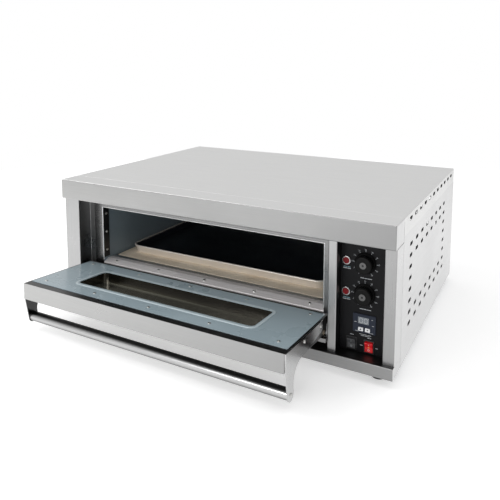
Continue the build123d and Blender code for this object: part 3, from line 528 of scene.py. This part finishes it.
FINISHES = {
    steel_header: ["header_fascia"],
    steel_base: ["base_band"],
    steel_door: ["door_skin"],
    steel_top: ["top_cover"],
    steel_side: ["side_panel_right"],
    steel_left_side: ["side_panel_left"],
    steel_left_post: ["front_post_left"],
    steel_divider: ["divider_post"],
    steel_lower: ["lower_front_panel"],
    steel_right_post: ["front_post_right"],
    steel_bracket: ["handle_brackets"],
    bar_material(): ["handle_bar"],
    tray_material(): ["baking_tray"],
    steel_frame: ["chamber_front_frame"],
    steel_sill: ["sill_plate"],
    galvanised: ["base_pan", "rear_panel", "stone_rails"],
    dark_zinc: ["partition_panel"],
    bright: ["hinge_brackets", "hinge_pins"],
    chrome: ["indicator_bezels"],
    zinc: ["frame_screws", "door_panel_screws", "handle_screws"],
    brass: ["hinge_bushings"],
    chamber: ["chamber_floor", "chamber_ceiling", "chamber_rear_wall"],
    chamber_side: ["chamber_wall_left", "chamber_wall_right"],
    channel: ["window_channel", "glass_spacer"],
    element: ["heating_elements_top", "heating_elements_bottom"],
    panel_black: ["control_panel"],
    black_strip: ["jamb_strips"],
    black_plastic: [
        "thermostats", "switch_housings", "timer_module", "contactor", "terminal_block", "cable_gland",
    ],
    knob_plastic: ["temperature_knob_upper", "temperature_knob_lower"],
    rubber: ["rubber_feet"],
    timer_navy: ["timer_faceplate"],
    button_white: ["timer_button_up", "timer_button_down"],
    spindle_material("spindle_upper", dials[0]): ["thermostat_spindle_upper"],
    spindle_material("spindle_lower", dials[1]): ["thermostat_spindle_lower"],
    inner_panel_material(): ["door_inner_panel"],
    stone_material(): ["pizza_stone"],
    wool_material(): ["insulation_blankets"],
    insulation_facing: ["door_insulation"],
    glass_material(): ["window_glass"],
    lamp_glass_material(): ["chamber_lamp"],
    lens_material(): ["indicator_lamps"],
    rocker_grey: ["light_rocker"],
    rocker_red: ["power_rocker"],
}

finished = set()
for material, names in FINISHES.items():
    for name in names:
        mesh = nodes[name].data
        mesh.materials.clear()
        mesh.materials.append(material)
        finished.add(name)
assert finished == set(nodes), set(nodes) ^ finished


# ------------------------------------------------------------------ mesh pieces
FACING_FRONT = Matrix.Rotation(math.radians(90), 4, "X")      # a drawing in XY turned to face -Y


def piece(name, mesh, material, body):
    """Makes an object from a bmesh, gives it its finish and lets it ride on a body."""
    data = bpy.data.meshes.new(name)
    bmesh.ops.recalc_face_normals(mesh, faces=mesh.faces)
    mesh.to_mesh(data)
    mesh.free()
    data.materials.append(material)
    made = bpy.data.objects.new(name, data)
    bpy.context.scene.collection.objects.link(made)
    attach(made, body)
    return made


def plate(mesh, outline, place, thickness):
    """A flat shape that faces the front: its outline is in X and Z about place, and it grows towards -Y."""
    front = [mesh.verts.new((place.x + x, place.y - thickness, place.z + z)) for x, z in outline]
    back = [mesh.verts.new((place.x + x, place.y, place.z + z)) for x, z in outline]
    mesh.faces.new(front)
    mesh.faces.new(reversed(back))
    for i in range(len(outline)):
        j = (i + 1) % len(outline)
        mesh.faces.new((front[j], front[i], back[i], back[j]))


def bar(mesh, place, width, height, thickness, turn=0.0):
    corners = ((-width, -height), (width, -height), (width, height), (-width, height))
    c, s = math.cos(turn) / 2, math.sin(turn) / 2
    plate(mesh, [(x * c + z * s, z * c - x * s) for x, z in corners], place, thickness)


def numerals(name, entries, size, material, body, thickness):
    """Small raised numbers that face the front, joined into one piece."""
    joined = bmesh.new()
    for text, place in entries:
        curve = bpy.data.curves.new(name + "_text", "FONT")
        curve.body = text
        curve.size = size
        curve.extrude = thickness
        curve.align_x = "CENTER"
        curve.align_y = "CENTER"
        curve.resolution_u = 2
        letter = bpy.data.objects.new(name + "_text", curve)
        bpy.context.scene.collection.objects.link(letter)
        letter.matrix_world = Matrix.Translation(place) @ FACING_FRONT
        depsgraph = bpy.context.evaluated_depsgraph_get()
        mesh = bpy.data.meshes.new_from_object(letter.evaluated_get(depsgraph))
        mesh.transform(letter.matrix_world)
        joined.from_mesh(mesh)
        bpy.data.objects.remove(letter)
        bpy.data.curves.remove(curve)
        bpy.data.meshes.remove(mesh)
    bmesh.ops.remove_doubles(joined, verts=joined.verts, dist=1e-7)
    return piece(name, joined, material, body)


INK = 0.08 * MM               # thickness of print
LIFT = 0.01 * MM              # print stands this far off its panel
WORD_GAP = 0.9 * MM


def on_panel(x, z):
    return Vector((x, panel_y - LIFT, z))


def label(mesh, x, z, lines):
    """Lines of print too small to read: short bars with gaps between them.

    A line is how far its middle is from x and from z, its length and height, all in mm, and how long
    its words are beside each other.
    """
    for across, up, length, height, words in lines:
        scale = (length * MM - WORD_GAP * (len(words) - 1)) / sum(words)
        at = x + across * MM - length * MM / 2
        for word in words:
            long = word * scale
            bar(mesh, on_panel(at + long / 2, z + up * MM), long, height * MM, INK)
            at += long + WORD_GAP


DIAL_WORDS = [(2.0, -33.5, 25.0, 1.5, (5, 3, 6))]
LAMP_WORDS_TEAL = [(1.0, -14.5, 15.0, 1.5, (4, 3))]
LAMP_WORDS_WHITE = [(1.0, -17.8, 17.0, 1.5, (5, 4))]
SWITCH_WORDS = [(0.0, 19.0, 8.0, 1.3, (3, 2))]
POWER_WORDS = [(-17.0, 0.0, 6.0, 1.4, (3,)), (16.5, 0.0, 5.0, 1.4, (3,)), (0.0, -19.5, 20.0, 1.5, (5, 2, 4))]
UNDER_TIMER_WORDS = [(2.0, -4.2, 26.0, 1.1, (2, 4, 3)), (2.0, -7.0, 19.0, 1.1, (3, 4))]

# dials: a numbered scale over each knob, and a line of print below
TICK_RADIUS = 25.0 * MM
TICK_WIDTH = 0.9 * MM
TICK_LENGTH = 2.0 * MM
NUMBER_RADIUS = 28.6 * MM
NUMBER_SIZE = 4.2 * MM
NUMBER_STEP = 5
DIAL_SWEEP = math.radians(300)
DIAL_STEPS = 10
ticks = bmesh.new()
numbers = []


def round_dial(dial, radius, angle):
    return on_panel(dial.x + math.sin(angle) * radius, dial.z + math.cos(angle) * radius)


for dial in dials:
    for i in range(DIAL_STEPS + 1):
        angle = -DIAL_SWEEP / 2 + DIAL_SWEEP * i / DIAL_STEPS
        bar(ticks, round_dial(dial, TICK_RADIUS, angle), TICK_WIDTH, TICK_LENGTH, INK, angle)
        numbers.append((str(i * NUMBER_STEP), round_dial(dial, NUMBER_RADIUS, angle)))
    label(ticks, dial.x, dial.z, DIAL_WORDS)
piece("dial_scales", ticks, ink_white, "cabinet")
numerals("dial_numbers", numbers, NUMBER_SIZE, ink_white, "cabinet", INK / 2)

# print under the lamps, round the timer and by the switches
teal = bmesh.new()
white = bmesh.new()
for lamp_z in (bezel_high.z - bezel_radius, bezel_low.z + bezel_radius):
    label(teal, lamp_x, lamp_z, LAMP_WORDS_TEAL)
    label(white, lamp_x, lamp_z, LAMP_WORDS_WHITE)
for name, lines in (("light_rocker", SWITCH_WORDS), ("power_rocker", SWITCH_WORDS + POWER_WORDS)):
    rocker = middle(name)
    label(white, rocker.x, rocker.z, lines)
label(white, timer_middle.x, timer_low.z, UNDER_TIMER_WORDS)
piece("panel_print_teal", teal, ink_teal, "cabinet")
piece("panel_print_white", white, ink_white, "cabinet")


# ------------------------------------------------------------------ timer display
SEGMENTS = (
    (0, 1, True), (1, 0.5, False), (1, -0.5, False),
    (0, -1, True), (-1, -0.5, False), (-1, 0.5, False),
)
DIGIT_THICKNESS = 0.15 * MM


def zero(mesh, place, width, height, stroke):
    """A nought of six bars. Each segment is its place in half widths and heights, and whether it is level."""
    for across, up, level in SEGMENTS:
        spot = place + Vector((across * width / 2, 0, up * height / 2))
        if level:
            bar(mesh, spot, width - stroke, stroke, DIGIT_THICKNESS)
        else:
            bar(mesh, spot, stroke, height / 2 - stroke, DIGIT_THICKNESS)


BACKING_SIZE = (23.6 * MM, 14.6 * MM)
BACKING = 0.3 * MM
RECESS = 0.55 * MM
DIGIT_SIZE = (6.4 * MM, 10.4 * MM)
DIGIT_STROKE = 1.5 * MM
DIGIT_OFFSET = 5.2 * MM
DOT = 1.4 * MM
face_y = timer_low.y
display = Vector((timer_middle.x - 2 * MM, face_y + RECESS, timer_middle.z + 6.5 * MM))
backing = bmesh.new()
bar(backing, display, *BACKING_SIZE, BACKING)
piece("display_backing", backing, lcd_grey, "cabinet")
shown = bmesh.new()
for side in (-1, 1):
    zero(shown, display + Vector((side * DIGIT_OFFSET, -BACKING, 0)), *DIGIT_SIZE, DIGIT_STROKE)
bar(shown, display + Vector((10.8 * MM, -BACKING, 5.4 * MM)), DOT, DOT, DIGIT_THICKNESS)
piece("display_digits", shown, ink_white, "cabinet")

# words on the timer's face, in mm: place across and up from its middle, and length
TIMER_WORDS = (
    (-19.5, 1.5, 5.0), (-16.0, -18.0, 7.0), (15.0, -18.0, 9.0),
    (17.0, 12.0, 3.0), (19.0, -1.0, 4.0),
)
TIMER_WORD_HEIGHT = 1.1 * MM
marks = bmesh.new()
timer_face = Vector((timer_middle.x, face_y - 2 * LIFT, timer_middle.z))
for across, up, long in TIMER_WORDS:
    bar(marks, timer_face + Vector((across * MM, 0, up * MM)), long * MM, TIMER_WORD_HEIGHT, INK)
piece("timer_print", marks, ink_white, "cabinet")

ARROW_HALF_WIDTH = 2.4 * MM
ARROW_FOOT = -1.6 * MM
ARROW_TIP = 2.0 * MM
for name, body, up in (("timer_button_up", "timer_up", 1), ("timer_button_down", "timer_down", -1)):
    button = middle(name)
    place = Vector((button.x, corners(name)[0].y - LIFT, button.z))
    outline = [(-ARROW_HALF_WIDTH, ARROW_FOOT * up), (ARROW_HALF_WIDTH, ARROW_FOOT * up), (0, ARROW_TIP * up)]
    arrow = bmesh.new()
    plate(arrow, outline[::up], place, INK)
    piece(f"{name}_arrow", arrow, ink_dark, body)


# ------------------------------------------------------------------ rolled edge round the chamber's mouth
def tube(mesh, start, end, radius, sides=12):
    """A thin closed bar with a round section between two points."""
    across = (end - start).orthogonal().normalized()
    upward = (end - start).cross(across).normalized()
    angles = [2 * math.pi * i / sides for i in range(sides)]
    spokes = [(across * math.cos(a) + upward * math.sin(a)) * radius for a in angles]
    first, last = ([mesh.verts.new(centre + spoke) for spoke in spokes] for centre in (start, end))
    mesh.faces.new(first)
    mesh.faces.new(reversed(last))
    for i in range(sides):
        j = (i + 1) % sides
        mesh.faces.new((first[j], first[i], last[i], last[j]))


LIP = 1.3 * MM
LIP_SINK = 0.6 * MM
lip_y = frame_front + LIP_SINK
opening_top = corners("jamb_strips")[1].z + 1 * MM
lip_left = Vector((sill_low.x - LIP, lip_y, opening_top))
lip_right = Vector((sill_high.x + LIP, lip_y, opening_top))
lip = bmesh.new()
tube(lip, lip_left, lip_right, LIP)
for x in (sill_low.x, sill_high.x):
    tube(lip, Vector((x, lip_y, sill_high.z)), Vector((x, lip_y, opening_top - LIP)), LIP)
piece("opening_lip", lip, lip_steel, "cabinet")


# ------------------------------------------------------------------ painted shade: a dark strip in the seam behind the strips
SEAM_DEPTH = 0.5 * MM
SHADE_STRIP = 1.0 * MM
SEAM_PLAY = 0.03 * MM
seam_width = cover_low.y - corners("header_fascia")[1].y
seam_foot = corners("front_post_right")[0].z
seam_top = cover_high.z - SEAM_DEPTH
reach = cover_high.x - SEAM_DEPTH
hoop = [(-reach, seam_foot), (-reach, seam_top), (reach, seam_top), (reach, seam_foot)]
hoop += [(reach - SHADE_STRIP, seam_foot), (reach - SHADE_STRIP, seam_top - SHADE_STRIP)]
hoop += [(SHADE_STRIP - reach, seam_top - SHADE_STRIP), (SHADE_STRIP - reach, seam_foot)]
seam = bmesh.new()
plate(seam, hoop, Vector((0, cover_low.y - SEAM_PLAY, 0)), seam_width - 2 * SEAM_PLAY)
piece("seam_shade_strip", seam, seam_shade, "cabinet")


# ------------------------------------------------------------------ floor, light and camera
FLOOR_RADIUS = 2.4
floor_mesh = bmesh.new()
bmesh.ops.create_circle(floor_mesh, cap_ends=True, segments=96, radius=FLOOR_RADIUS)
floor_data = bpy.data.meshes.new("floor")
floor_mesh.to_mesh(floor_data)
floor_mesh.free()
floor_shader = Shader("floor_white", grey(0.86), 0.0, 0.9)
floor_shader.set("Emission Color", (1.0, 1.0, 1.0, 1.0))
floor_across = floor_shader.split(floor_shader.coordinates)["X"]
floor_glow = floor_shader.remap(floor_across, 0.60, 0.40, -1.5, 0.5)      # painted light: the floor glows more at the left, so its shadows fade there and stay deeper at the right
floor_shader.link(floor_glow, floor_shader.bsdf.inputs["Emission Strength"])
floor_shader.paint(floor_shader.tinted(floor_shader.noise(3.0), 0.004))
floor_data.materials.append(floor_shader.finish())
floor = bpy.data.objects.new("floor", floor_data)
bpy.context.scene.collection.objects.link(floor)

# a pale studio that is greyer in front of the oven and to its right, and plain white to the camera
DARK_SIDE = Vector((0.35, -0.93, 0.0)).normalized()
STUDIO_STRENGTH = 0.74
world = bpy.data.worlds.new("studio")
world.use_nodes = True
bpy.context.scene.world = world
tree = world.node_tree
background = tree.nodes["Background"]
output = tree.nodes["World Output"]
coordinates = tree.nodes.new("ShaderNodeTexCoord")
facing = tree.nodes.new("ShaderNodeVectorMath")
facing.operation = "DOT_PRODUCT"
facing.inputs[1].default_value = DARK_SIDE
tree.links.new(coordinates.outputs["Generated"], facing.inputs[0])
ramp = tree.nodes.new("ShaderNodeValToRGB")
ramp.color_ramp.interpolation = "EASE"
ramp.color_ramp.elements[0].position = 0.32
ramp.color_ramp.elements[0].color = (1.0, 1.0, 1.0, 1.0)
ramp.color_ramp.elements[1].position = 0.88
ramp.color_ramp.elements[1].color = (0.36, 0.365, 0.37, 1.0)
tree.links.new(facing.outputs["Value"], ramp.inputs["Fac"])
tree.links.new(ramp.outputs["Color"], background.inputs["Color"])
background.inputs["Strength"].default_value = STUDIO_STRENGTH
plain = tree.nodes.new("ShaderNodeBackground")
plain.inputs["Color"].default_value = (1.0, 1.0, 1.0, 1.0)
path = tree.nodes.new("ShaderNodeLightPath")
mix = tree.nodes.new("ShaderNodeMixShader")
tree.links.new(path.outputs["Is Camera Ray"], mix.inputs[0])
tree.links.new(background.outputs[0], mix.inputs[1])
tree.links.new(plain.outputs[0], mix.inputs[2])
tree.links.new(mix.outputs[0], output.inputs["Surface"])


def softbox(name, place, target, size, power):
    light = bpy.data.lights.new(name, "AREA")
    light.shape = "RECTANGLE"
    light.size, light.size_y = size
    light.energy = power
    made = bpy.data.objects.new(name, light)
    bpy.context.scene.collection.objects.link(made)
    made.location = place
    made.rotation_mode = "QUATERNION"
    made.rotation_quaternion = (Vector(target) - Vector(place)).to_track_quat("-Z", "Y")


oven_middle = (Vector(cad_box[0]) + Vector(cad_box[1])) / 2
softbox("key", (-1.8, -1.0, 2.3), oven_middle, (1.4, 1.4), 15)
softbox("top", (0.1, 0.3, 2.8), oven_middle, (2.4, 2.4), 4)
softbox("low_fill", (-0.3, -2.3, 0.55), (0.0, -0.3, 0.05), (1.8, 0.5), 5)
softbox("mouth_fill", (0.0, -1.7, 0.62), middle("pizza_stone"), (1.2, 0.3), 7)

PIXELS = 500
SENSOR = 36.0
FOCAL_PIXELS = 565.3
CAMERA_SHIFT = -0.25
CAMERA_PLACE = (0.7236, -1.3387, 0.6696)
YAW = math.radians(-28.605)
PITCH = math.radians(6.562)
camera_data = bpy.data.cameras.new("camera")
camera_data.sensor_width = SENSOR
camera_data.lens = FOCAL_PIXELS / PIXELS * SENSOR
camera_data.shift_y = CAMERA_SHIFT
camera_data.clip_start = 0.02
camera_data.clip_end = 100.0
camera = bpy.data.objects.new("camera", camera_data)
bpy.context.scene.collection.objects.link(camera)
camera.location = CAMERA_PLACE
forward = Vector((math.sin(YAW) * math.cos(PITCH), math.cos(YAW) * math.cos(PITCH), -math.sin(PITCH)))
camera.rotation_mode = "QUATERNION"
camera.rotation_quaternion = forward.to_track_quat("-Z", "Y")
bpy.context.scene.camera = camera
bpy.context.scene.view_settings.view_transform = "Standard"
